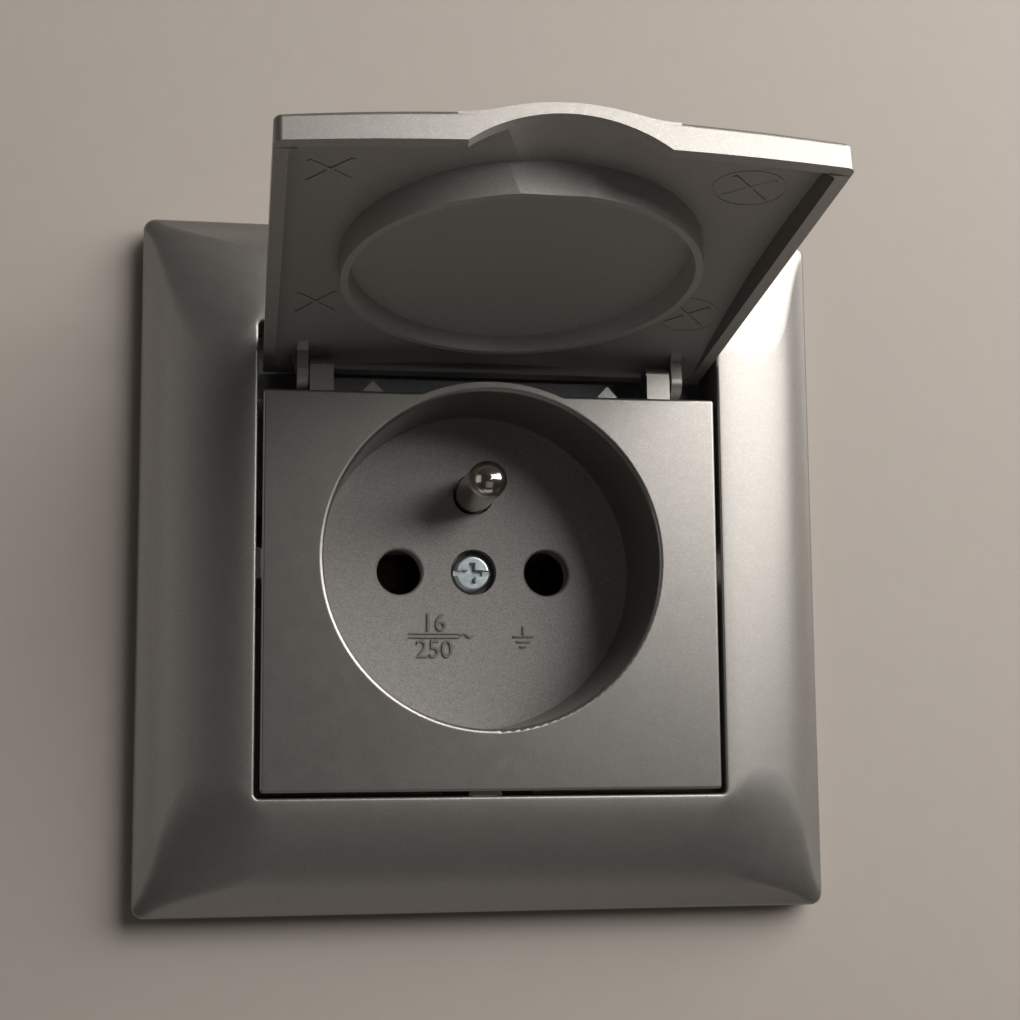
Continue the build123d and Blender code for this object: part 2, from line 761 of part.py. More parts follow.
# Earth strap: strip from the pin's tail into the earth terminal
with BuildPart() as earth_strap:
    with BuildSketch(plan_plane(earth_side)):
        with BuildLine():
            Polyline(
                (earth_pin_offset - strap_margin, strap_front + sheet / 2),
                (tab_place, strap_front + sheet / 2),
                (tab_place, cage_back),
            )
        trace(line_width=sheet)
    extrude(amount=contact_width / 2, both=True)
    with BuildSketch(front_plane(-strap_front - sheet)):
        with Locations((0, earth_pin_offset)):
            Circle(pin_rivet_radius + thread_clearance)
    extrude(amount=sheet, mode=Mode.SUBTRACT)

# Centre screw with a slot and a cross recess, and the insert that takes it
head_top = floor_depth + screw_head_sink

with BuildPart() as cover_screw:
    with BuildSketch(depth_plane(neutral_side, head_top)):
        Circle(screw_head_radius)
    extrude(amount=screw_head_height)
    crown = cover_screw.faces().sort_by(Axis.Y)[0].edges()
    fillet(crown, screw_head_round)
    with BuildSketch(depth_plane(neutral_side, head_top + screw_head_height)):
        Circle(screw_radius)
    extrude(amount=screw_length)
    with BuildSketch(depth_plane(neutral_side, head_top)):
        Rectangle(2 * screw_head_radius, slot_width)
    extrude(amount=slot_depth, mode=Mode.SUBTRACT)
    with BuildSketch(depth_plane(neutral_side, head_top)):
        Rectangle(cross_length, cross_width)
        Rectangle(cross_width, cross_length)
    extrude(amount=cross_depth, mode=Mode.SUBTRACT)

with BuildPart() as cover_nut:
    with BuildSketch(depth_plane(neutral_side, boss_back + nut_setback)):
        Circle(nut_radius)
        Circle(screw_radius + thread_clearance, mode=Mode.SUBTRACT)
    extrude(amount=nut_length)


# Fixing screws: four hold the bridge to the carrier, four the rear cover
def fixing_screws(seat):
    """Four screws whose heads sit on a plane, with the shanks going down from it."""
    with BuildPart() as piece:
        with BuildSketch(seat):
            with GridLocations(2 * fixing_offset, 2 * fixing_offset, 2, 2):
                Circle(fixing_head_radius)
        extrude(amount=fixing_head_height)
        with BuildSketch(seat):
            with GridLocations(2 * fixing_offset, 2 * fixing_offset, 2, 2):
                Circle(fixing_radius)
        extrude(amount=-fixing_length)
        with BuildSketch(seat.offset(fixing_head_height)):
            with GridLocations(2 * fixing_offset, 2 * fixing_offset, 2, 2):
                Rectangle(2 * fixing_head_radius, slot_width)
        extrude(amount=-slot_depth, mode=Mode.SUBTRACT)
    return piece


bridge_screws = fixing_screws(front_plane(bridge_thickness))
rear_cover_screws = fixing_screws(depth_plane(neutral_side, base_depth + back_thickness))

pieces = {
    "frame": frame,
    "cover_plate": cover_plate,
    "lid": lid,
    "cover_screw": cover_screw,
    "cover_nut": cover_nut,
    "mounting_bridge": mounting_bridge,
    "socket_base": socket_base,
    "rear_cover": rear_cover,
    "line_contact": line_contact,
    "neutral_contact": neutral_contact,
    "line_contact_spring": line_contact_spring,
    "neutral_contact_spring": neutral_contact_spring,
    "line_terminal": line_terminal,
    "neutral_terminal": neutral_terminal,
    "earth_terminal": earth_terminal,
    "terminal_screws": terminal_screws,
    "earth_pin": earth_pin,
    "earth_strap": earth_strap,
    "bridge_screws": bridge_screws,
    "rear_cover_screws": rear_cover_screws,
}

os.makedirs("parts", exist_ok=True)
for name, piece in pieces.items():
    piece.part.label = name
    export_step(piece.part, "parts/" + name + ".step")
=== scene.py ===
"""Looks of an earthed wall socket with a lid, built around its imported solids.

The front faces -Y, +Z is up and the wall plane is at y = 0. Every length is in metres.
"""
import json
import logging
import math
from abc import ABC, abstractmethod
from dataclasses import dataclass, field
from enum import Enum
from typing import Any, Callable, Mapping, Sequence, Union

import bmesh
import bpy
from mathutils import Matrix, Quaternion, Vector
from mathutils.bvhtree import BVHTree


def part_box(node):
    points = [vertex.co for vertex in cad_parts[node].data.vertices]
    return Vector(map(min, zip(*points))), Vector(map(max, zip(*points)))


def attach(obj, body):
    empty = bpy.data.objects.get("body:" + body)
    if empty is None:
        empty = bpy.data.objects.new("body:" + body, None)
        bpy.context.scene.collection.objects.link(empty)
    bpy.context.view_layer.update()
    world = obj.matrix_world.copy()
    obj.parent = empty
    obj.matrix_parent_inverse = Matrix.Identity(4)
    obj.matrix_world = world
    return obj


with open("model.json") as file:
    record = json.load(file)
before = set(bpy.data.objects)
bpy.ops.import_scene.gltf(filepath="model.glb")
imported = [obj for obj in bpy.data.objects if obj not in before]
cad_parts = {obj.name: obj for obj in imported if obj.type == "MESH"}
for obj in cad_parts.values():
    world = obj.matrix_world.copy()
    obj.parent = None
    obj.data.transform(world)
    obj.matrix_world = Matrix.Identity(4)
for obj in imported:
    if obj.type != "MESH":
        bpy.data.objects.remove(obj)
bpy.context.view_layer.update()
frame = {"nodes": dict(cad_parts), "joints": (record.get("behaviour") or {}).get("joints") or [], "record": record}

LOG = logging.getLogger("wall_socket")
MM = 0.001
HALF = 0.5
HALF_TURN = 180.0
LID_OPEN = math.radians(99.5)

# Sockets that a Mix node has for colours.
MIX_SHARE, MIX_FIRST, MIX_SECOND, MIX_RESULT = 0, 6, 7, 2

Triple = tuple[float, float, float]
Colour = Triple
Point = tuple[float, float]
Key = Union[str, int]
Operand = Union["Wire", float, Triple]
Projector = Callable[[float, float], tuple[Vector, Vector]]

KEY_WHITE: Colour = (1.0, 0.985, 0.965)
FILL_WHITE: Colour = (1.0, 0.97, 0.94)
PLAIN_WHITE: Colour = (1.0, 1.0, 1.0)


class Body(Enum):
    """The rigid bodies that a piece can ride on."""

    SOCKET = "socket"
    LID = "lid"


class Slot(Enum):
    """The record's material slots."""

    GRAPHITE = "graphite_plastic"
    NICKEL = "nickel_plate"
    ZINC = "zinc_steel"
    SPRING = "spring_steel"
    BRASS = "brass"
    CARRIER = "carrier_plastic"


@dataclass(frozen=True)
class Grain:
    """The pattern of a soft noise.

    Attributes:
        size: The size of a grain.
        layers: How many finer layers are added.
        stretch: How much finer or coarser the noise is along each axis.
    """

    size: float
    layers: float = 2.0
    stretch: Triple = (1.0, 1.0, 1.0)


@dataclass(frozen=True)
class Relief:
    """How much a height field shows on a surface.

    Attributes:
        depth: The depth that a height of 1 stands for.
        strength: How much of the depth shows, from 0 to 1.
    """

    depth: float
    strength: float


class Wire:
    """A node's output that takes part in Python expressions.

    Values become Math nodes. Vectors and colours become Vector Math nodes.
    """

    def __init__(self, graph: "Graph", socket: bpy.types.NodeSocket) -> None:
        """Keeps the graph and the output socket."""
        self.graph = graph
        self.socket = socket

    def _join(self, operation: str, first: Operand, second: Operand) -> "Wire":
        """Adds the node of one operator.

        Args:
            operation: The operation's name, which Math and Vector Math share.
            first: The left operand.
            second: The right operand.

        Returns:
            The new node's output.
        """
        is_vector = self.socket.type in {"VECTOR", "RGBA"}
        kind = "ShaderNodeVectorMath" if is_vector else "ShaderNodeMath"
        return self.graph.node(kind, {"operation": operation}, {0: first, 1: second})

    def __add__(self, other: Operand) -> "Wire":
        """Sum with another operand."""
        return self._join("ADD", self, other)

    def __radd__(self, other: Operand) -> "Wire":
        """Sum with a number on the left."""
        return self._join("ADD", other, self)

    def __sub__(self, other: Operand) -> "Wire":
        """Difference from another operand."""
        return self._join("SUBTRACT", self, other)

    def __mul__(self, other: Operand) -> "Wire":
        """Product with another operand."""
        return self._join("MULTIPLY", self, other)

    def step(self, low: float, high: float) -> "Wire":
        """Smooth step of a value.

        Args:
            low: The value that gives 0.
            high: The value that gives 1.

        Returns:
            A value from 0 to 1.
        """
        limits = {"Value": self, "From Min": low, "From Max": high}
        return self.graph.node("ShaderNodeMapRange", {"interpolation_type": "SMOOTHSTEP"}, limits)


class Graph:
    """The node tree of one material or of the world."""

    def __init__(self, tree: bpy.types.NodeTree) -> None:
        """Empties a node tree and keeps it."""
        self.tree = tree
        self.tree.nodes.clear()

    def node(
        self,
        kind: str,
        settings: Mapping[str, Any] | None = None,
        inputs: Mapping[Key, Operand] | None = None,
        output: Key = 0,
    ) -> Wire:
        """Adds a node.

        Args:
            kind: The node's type.
            settings: Its own settings, which are set first.
            inputs: The values or wires of its input sockets, by name or index.
            output: The output socket that is wanted.

        Returns:
            The wanted output.
        """
        made = self.tree.nodes.new(kind)
        for name, value in (settings or {}).items():
            setattr(made, name, value)
        for key, value in (inputs or {}).items():
            self._feed(made.inputs[key], value)
        return Wire(self, made.outputs[output] if made.outputs else made.inputs[0])

    def _feed(self, socket: bpy.types.NodeSocket, value: Operand) -> None:
        """Links a wire to a socket, or sets the socket's own value.

        Args:
            socket: The input socket.
            value: A wire, a number or a triple.
        """
        if isinstance(value, Wire):
            self.tree.links.new(value.socket, socket)
        elif socket.type == "RGBA":
            socket.default_value = (*value, 1.0)
        elif socket.type == "VECTOR" and isinstance(value, (int, float)):
            socket.default_value = (value, value, value)
        else:
            socket.default_value = value

    def mix(self, share: Operand, first: Operand, second: Operand) -> Wire:
        """Mixes two colours.

        Args:
            share: The second colour's share, from 0 to 1.
            first: The first colour.
            second: The second colour.

        Returns:
            The mixed colour.
        """
        inputs = {MIX_SHARE: share, MIX_FIRST: first, MIX_SECOND: second}
        return self.node("ShaderNodeMix", {"data_type": "RGBA"}, inputs, MIX_RESULT)

    def place(self) -> Wire:
        """Coordinates fixed to the piece, in metres."""
        return self.node("ShaderNodeTexCoord", output="Object")

    def noise(self, grain: Grain) -> Wire:
        """Soft noise from 0 to 1.

        Args:
            grain: The noise's pattern.

        Returns:
            The noise value.
        """
        where = self.place() * grain.stretch
        inputs = {"Vector": where, "Scale": 1 / grain.size, "Detail": grain.layers}
        return self.node("ShaderNodeTexNoise", {}, inputs)

    def cells(self, size: float) -> Wire:
        """A random colour for each small cell, from 0 to 1 in each channel.

        Args:
            size: The size of a cell.

        Returns:
            The cell's colour.
        """
        where = {"Vector": self.place(), "Scale": 1 / size}
        return self.node("ShaderNodeTexVoronoi", {"feature": "F1"}, where, output="Color")

    def dot(self, first: Operand, second: Operand) -> Wire:
        """The scalar product of two vectors."""
        settings = {"operation": "DOT_PRODUCT"}
        return self.node("ShaderNodeVectorMath", settings, {0: first, 1: second}, "Value")

    def red(self, colour: Wire) -> Wire:
        """The red channel of a colour, as a value."""
        return self.node("ShaderNodeSeparateColor", {}, {"Color": colour}, output="Red")

    def bump(self, height: Wire, relief: Relief, normal: Wire | None = None) -> Wire:
        """A bumped normal.

        Args:
            height: The height field, from 0 to 1.
            relief: How much of it shows.
            normal: The normal that is bumped, or none for the surface's own.

        Returns:
            The normal.
        """
        inputs: dict[Key, Operand] = {"Height": height}
        inputs |= {"Distance": relief.depth, "Strength": relief.strength}
        if normal is not None:
            inputs["Normal"] = normal
        return self.node("ShaderNodeBump", {}, inputs)

    def surface(self, inputs: Mapping[Key, Operand]) -> Wire:
        """A general surface shader."""
        return self.node("ShaderNodeBsdfPrincipled", {}, inputs)


@dataclass(frozen=True)
class Finish(ABC):
    """One surface finish, made as a procedural material."""

    name: str

    @abstractmethod
    def paint(self, graph: Graph) -> Wire:
        """Adds the finish's nodes and returns its shader."""

    def material(self) -> bpy.types.Material:
        """Makes the material.

        Returns:
            The material, with its nodes linked to its output.
        """
        made = bpy.data.materials.new(self.name)
        made.use_nodes = True
        graph = Graph(made.node_tree)
        graph.node("ShaderNodeOutputMaterial", {}, {"Surface": self.paint(graph)})
        return made


@dataclass(frozen=True)
class GraphitePaint(Finish):
    """Satin graphite lacquer with a fine metal flake, over moulded plastic."""

    name: str = "graphite_paint"
    dark: Colour = (0.285, 0.269, 0.25)
    light: Colour = (0.34, 0.322, 0.301)
    fleck: Colour = (0.56, 0.54, 0.515)
    bare_dark: Colour = (0.27, 0.258, 0.243)
    bare_light: Colour = (0.42, 0.405, 0.385)
    metallic: float = 0.9
    bare_metallic: float = 0.3
    roughness: float = 0.43
    bare_roughness: float = 0.5
    flake_size: float = 0.1 * MM
    flake_tilt: float = 0.022
    fleck_span: Point = (0.8, 1.0)
    fleck_share: float = 0.15
    fleck_sheen: float = 0.03
    mottle: Grain = Grain(1.6 * MM, 3.0)
    mottle_sheen: float = 0.04
    peel: Grain = Grain(0.9 * MM)
    peel_relief: Relief = Relief(0.006 * MM, 0.2)

    def bare(self, graph: Graph) -> Operand:
        """How bare of lacquer the surface is, from 0 to 1."""
        return 0.0

    def paint(self, graph: Graph) -> Wire:
        """Adds flakes, cloudy lacquer, bare areas and a faint orange peel.

        Args:
            graph: The material's graph.

        Returns:
            The shader.
        """
        bare = self.bare(graph)
        flakes = graph.cells(self.flake_size)
        grain = graph.red(flakes)
        bright = grain.step(*self.fleck_span)
        cloud = graph.noise(self.mottle)
        body = graph.mix((cloud + grain) * HALF, self.dark, self.light)
        lacquer = graph.mix(bright * self.fleck_share, body, self.fleck)
        plastic = graph.mix(grain, self.bare_dark, self.bare_light)
        plain = graph.node("ShaderNodeNewGeometry", output="Normal")
        tilted = plain + (flakes - HALF) * self.flake_tilt
        normal = graph.node("ShaderNodeVectorMath", {"operation": "NORMALIZE"}, {0: tilted})
        sheen = self.roughness + (cloud - HALF) * self.mottle_sheen - bright * self.fleck_sheen
        return graph.surface(
            {
                "Base Color": graph.mix(bare, lacquer, plastic),
                "Metallic": self.metallic + bare * (self.bare_metallic - self.metallic),
                "Roughness": sheen + bare * (self.bare_roughness - self.roughness),
                "Normal": graph.bump(graph.noise(self.peel), self.peel_relief, normal),
            }
        )


@dataclass(frozen=True)
class RecessPaint(GraphitePaint):
    """The lacquer of the cover plate, which hardly reaches the recess floor."""

    name: str = "graphite_paint_recess"
    roughness: float = 0.34
    floor: float = 7.6 * MM
    fade: float = 0.8 * MM

    def bare(self, graph: Graph) -> Operand:
        """How bare of lacquer the surface is, by its depth."""
        depth = graph.node("ShaderNodeSeparateXYZ", {}, {"Vector": graph.place()}, output="Y")
        return depth.step(self.floor - self.fade, self.floor)


@dataclass(frozen=True)
class LidPaint(GraphitePaint):
    """The lacquer of the lid. Its inner side and its ring are bare plastic, whose pale tone is partly painted
    light standing in for bounce light from below.
    """

    name: str = "graphite_paint_lid"
    roughness: float = 0.41
    # The pale bare tones are partly the plastic's own and partly painted light, standing in for bounce light on
    # the inner side and the ring.
    bare_dark: Colour = (0.4, 0.382, 0.36)
    bare_light: Colour = (0.5, 0.48, 0.455)
    inward: Triple = (0.0, math.cos(LID_OPEN), -math.sin(LID_OPEN))
    inner_facing: Point = (0.4, 0.8)
    ring_middle: Triple = (0.0, -28.5 * MM, 25.4 * MM)
    ring_reach: float = 19.6 * MM
    ring_fade: float = 1.05
    ring_facing: Point = (-0.6, -0.2)

    def bare(self, graph: Graph) -> Operand:
        """How bare of lacquer the surface is, by the way it faces and by its place.

        The inner side and the whole ring on it are bare; their pale bare tone is partly painted light.

        Args:
            graph: The material's graph.

        Returns:
            A value from 0 to 1.
        """
        facing = graph.dot(graph.node("ShaderNodeTexCoord", output="Normal"), self.inward)
        away = graph.place() - self.ring_middle
        height = graph.dot(away, self.inward)
        reach = graph.dot(away, away) - height * height
        limit = self.ring_reach**2
        within = reach.step(self.ring_fade * limit, limit) * facing.step(*self.ring_facing)
        inner = facing.step(*self.inner_facing)
        return inner + within - inner * within


@dataclass(frozen=True)
class NickelPlate(Finish):
    """Bright nickel over a turned brass pin, with faint lathe rings."""

    name: str = "nickel_plate"
    bright: Colour = (0.74, 0.68, 0.61)
    dull: Colour = (0.6, 0.53, 0.45)
    roughness: float = 0.12
    ring: Grain = Grain(0.12 * MM, 1.0, (0.02, 1.0, 0.02))
    ring_relief: Relief = Relief(0.004 * MM, 0.3)
    ring_sheen: float = 0.03
    cloud: Grain = Grain(1.1 * MM, 3.0)
    cloud_span: Point = (0.4, 0.75)
    cloud_sheen: float = 0.06

    def paint(self, graph: Graph) -> Wire:
        """Adds lathe rings along the pin and cloudy handling marks.

        Args:
            graph: The material's graph.

        Returns:
            The shader.
        """
        rings = graph.noise(self.ring)
        cloud = graph.noise(self.cloud)
        return graph.surface(
            {
                "Base Color": graph.mix(cloud.step(*self.cloud_span), self.bright, self.dull),
                "Metallic": 1.0,
                "Roughness": self.roughness + rings * self.ring_sheen + cloud * self.cloud_sheen,
                "Normal": graph.bump(rings, self.ring_relief),
            }
        )


@dataclass(frozen=True)
class PlatedSteel(Finish):
    """Zinc-plated steel, clear passivated, with a cloudy tint."""

    name: str = "zinc_steel"
    cool: Colour = (0.66, 0.8, 0.85)
    warm: Colour = (0.86, 0.88, 0.84)
    roughness: float = 0.2
    cloud: Grain = Grain(0.8 * MM, 3.0)
    cloud_span: Point = (0.35, 0.7)
    cloud_sheen: float = 0.14
    pit: Grain = Grain(0.12 * MM)
    pit_relief: Relief = Relief(0.008 * MM, 0.4)
    pit_sheen: float = 0.06

    def paint(self, graph: Graph) -> Wire:
        """Adds the cloudy tint and small pits.

        Args:
            graph: The material's graph.

        Returns:
            The shader.
        """
        cloud = graph.noise(self.cloud)
        pits = graph.noise(self.pit)
        return graph.surface(
            {
                "Base Color": graph.mix(cloud.step(*self.cloud_span), self.cool, self.warm),
                "Metallic": 1.0,
                "Roughness": self.roughness + cloud * self.cloud_sheen + pits * self.pit_sheen,
                "Normal": graph.bump(pits, self.pit_relief),
            }
        )


@dataclass(frozen=True)
class RolledStrip(Finish):
    """Stamped metal strip with a rolled grain."""

    name: str
    bright: Colour
    dull: Colour
    roughness: float = 0.3
    grain: Grain = Grain(0.1 * MM, stretch=(1.0, 0.06, 1.0))
    grain_relief: Relief = Relief(0.005 * MM, 0.35)
    grain_sheen: float = 0.1
    patch: Grain = Grain(2.2 * MM, 4.0)
    patch_span: Point = (0.4, 0.7)
    patch_sheen: float = 0.12

    def paint(self, graph: Graph) -> Wire:
        """Adds a long grain and a patchy tarnish.

        Args:
            graph: The material's graph.

        Returns:
            The shader.
        """
        grain = graph.noise(self.grain)
        tarnish = graph.noise(self.patch).step(*self.patch_span)
        return graph.surface(
            {
                "Base Color": graph.mix(tarnish, self.bright, self.dull),
                "Metallic": 1.0,
                "Roughness": self.roughness + grain * self.grain_sheen + tarnish * self.patch_sheen,
                "Normal": graph.bump(grain, self.grain_relief),
            }
        )


@dataclass(frozen=True)
class MouldedPlastic(Finish):
    """Plain grained plastic of the contact carrier."""

    name: str = "carrier_plastic"
    dark: Colour = (0.46, 0.46, 0.44)
    light: Colour = (0.56, 0.56, 0.54)
    roughness: float = 0.52
    grain: Grain = Grain(0.22 * MM, 3.0)
    grain_relief: Relief = Relief(0.02 * MM, 0.5)
    grain_sheen: float = 0.16
    flow: Grain = Grain(7 * MM, 3.0, (1.0, 0.35, 1.0))

    def paint(self, graph: Graph) -> Wire:
        """Adds a spark-eroded grain and faint flow marks.

        Args:
            graph: The material's graph.

        Returns:
            The shader.
        """
        grain = graph.noise(self.grain)
        flow = graph.noise(self.flow)
        return graph.surface(
            {
                "Base Color": graph.mix(flow, self.dark, self.light),
                "Roughness": self.roughness + (grain - HALF) * self.grain_sheen,
                "Normal": graph.bump(grain, self.grain_relief),
            }
        )


@dataclass(frozen=True)
class WallPaint(Finish):
    """Plain pale wall paint, seen from its front only."""

    name: str = "wall_paint"
    dark: Colour = (0.4, 0.355, 0.315)
    light: Colour = (0.42, 0.373, 0.332)
    roughness: float = 0.75
    grain: Grain = Grain(2.5 * MM, 3.0)
    grain_relief: Relief = Relief(0.05 * MM, 0.2)

    def paint(self, graph: Graph) -> Wire:
        """Adds a faint roller grain, and clears the wall's back.

        Args:
            graph: The material's graph.

        Returns:
            The shader.
        """
        grain = graph.noise(self.grain)
        coat = graph.surface(
            {
                "Base Color": graph.mix(grain, self.dark, self.light),
                "Roughness": self.roughness,
                "Normal": graph.bump(grain, self.grain_relief),
            }
        )
        clear = graph.node("ShaderNodeBsdfTransparent")
        behind = graph.node("ShaderNodeNewGeometry", output="Backfacing")
        return graph.node("ShaderNodeMixShader", {}, {0: behind, 1: coat, 2: clear})


@dataclass(frozen=True)
class RaisedLine:
    """A low moulded line that follows a surface.

    Attributes:
        points: The line's middle, in the surface's own two coordinates.
        width: Its width at the foot.
        height: Its height above the surface.
        closed: Whether its ends meet.
        draft: The share of the width that its two flanks take up.
        sink: How deep its foot lies in the surface.
    """

    points: Sequence[Point]
    width: float
    height: float
    closed: bool = False
    draft: float = 0.2
    sink: float = 0.05 * MM

    def _sides(self) -> list[Vector]:
        """Finds which way the line's left side is.

        Returns:
            A unit vector to the left for each point.
        """
        count = len(self.points)
        sides = []
        for index in range(count):
            before = index - 1 if self.closed else max(index - 1, 0)
            after = (index + 1) % count if self.closed else min(index + 1, count - 1)
            run = Vector(self.points[after]) - Vector(self.points[before])
            sides.append(Vector((-run.y, run.x)).normalized())
        return sides

    def add_to(self, mesh: bmesh.types.BMesh, place: Projector) -> None:
        """Adds the line to a mesh.

        Args:
            mesh: The mesh that is added to.
            place: Gives the surface's point and normal at two coordinates.
        """
        profile = (
            (-HALF, -self.sink),
            (-HALF + self.draft / 2, self.height),
            (HALF - self.draft / 2, self.height),
            (HALF, -self.sink),
        )
        rows = []
        for middle, side in zip(self.points, self._sides()):
            row = []
            for share, rise in profile:
                spot = Vector(middle) - side * share * self.width
                point, normal = place(spot.x, spot.y)
                row.append(mesh.verts.new(point + normal * rise))
            rows.append(row)
        pairs = list(zip(rows, rows[1:]))
        if self.closed:
            pairs.append((rows[-1], rows[0]))
        else:
            mesh.faces.new(rows[0])
            mesh.faces.new(reversed(rows[-1]))
        for row, following in pairs:
            for index in range(len(profile)):
                other = (index + 1) % len(profile)
                mesh.faces.new((row[index], following[index], following[other], row[other]))


def ring_points(radius: float, middle: Point, count: int = 40) -> list[Point]:
    """Points round a circle.

    Args:
        radius: The circle's radius.
        middle: Its centre.
        count: How many points.

    Returns:
        The points, in order.
    """
    across, along = middle
    turns = [2 * math.pi * index / count for index in range(count)]
    return [(across + radius * math.cos(turn), along + radius * math.sin(turn)) for turn in turns]


def span_points(start: Point, end: Point, count: int = 8) -> list[Point]:
    """Evenly spaced points on a straight line.

    Args:
        start: The first point.
        end: The last point.
        count: How many points.

    Returns:
        The points, in order.
    """
    shares = [index / (count - 1) for index in range(count)]
    return [tuple(Vector(start).lerp(Vector(end), share)) for share in shares]


def heading(azimuth: float, elevation: float) -> Vector:
    """A direction, as +Y turned to the right and then raised.

    Args:
        azimuth: Degrees to the right of +Y.
        elevation: Degrees above the level.

    Returns:
        The unit vector.
    """
    turn = math.radians(azimuth)
    rise = math.radians(elevation)
    level = math.cos(rise)
    return Vector((math.sin(turn) * level, math.cos(turn) * level, math.sin(rise)))


def new_object(name: str, data: bpy.types.ID) -> bpy.types.Object:
    """Makes an object and links it to the scene.

    Args:
        name: The object's name.
        data: Its mesh, curve, light or camera.

    Returns:
        The object.
    """
    made = bpy.data.objects.new(name, data)
    bpy.context.scene.collection.objects.link(made)
    return made


class SubAssembly(ABC):
    """A group of pieces that is built and dressed together."""

    body: Body = Body.SOCKET
    shadow_smoothing: float = 0.5

    @abstractmethod
    def build(self) -> None:
        """Makes and dresses the group's pieces."""

    def dress(self, node: str, finish: bpy.types.Material) -> None:
        """Gives a node of the frame its finish.

        Args:
            node: The node's name.
            finish: The material.
        """
        piece = frame["nodes"][node]
        if not piece.material_slots:
            piece.data.materials.append(finish)
        for slot in piece.material_slots:
            slot.material = finish
        piece.cycles.shadow_terminator_geometry_offset = self.shadow_smoothing
        piece.cycles.shadow_terminator_offset = self.shadow_smoothing
        LOG.info("dressed %s with %s", node, finish.name)

    def add_piece(
        self,
        name: str,
        mesh: bpy.types.Mesh,
        finish: bpy.types.Material,
        slot: Slot,
    ) -> None:
        """Adds a new piece that rides on the group's body.

        Args:
            name: The piece's name.
            mesh: Its mesh, in the frame's own coordinates.
            finish: Its material.
            slot: The record's slot, which is not used.
        """
        piece = new_object(name, mesh)
        mesh.materials.clear()
        mesh.materials.append(finish)
        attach(piece, self.body.value)
        LOG.info("added %s with %d faces", name, len(mesh.polygons))

    def add_lines(
        self,
        name: str,
        lines: Sequence[RaisedLine],
        place: Projector,
        finish: bpy.types.Material,
        slot: Slot,
    ) -> None:
        """Adds raised lines as one piece.

        Args:
            name: The piece's name.
            lines: The lines.
            place: The surface that they stand on.
            finish: Their material.
            slot: The record's slot.
        """
        work = bmesh.new()
        for line in lines:
            line.add_to(work, place)
        bmesh.ops.recalc_face_normals(work, faces=work.faces)
        mesh = bpy.data.meshes.new(name)
        work.to_mesh(mesh)
        work.free()
        self.add_piece(name, mesh, finish, slot)


@dataclass
class Surround(SubAssembly):
    """The square frame on the wall."""

    finish: bpy.types.Material

    def build(self) -> None:
        """Dresses the frame."""
        self.dress("frame", self.finish)


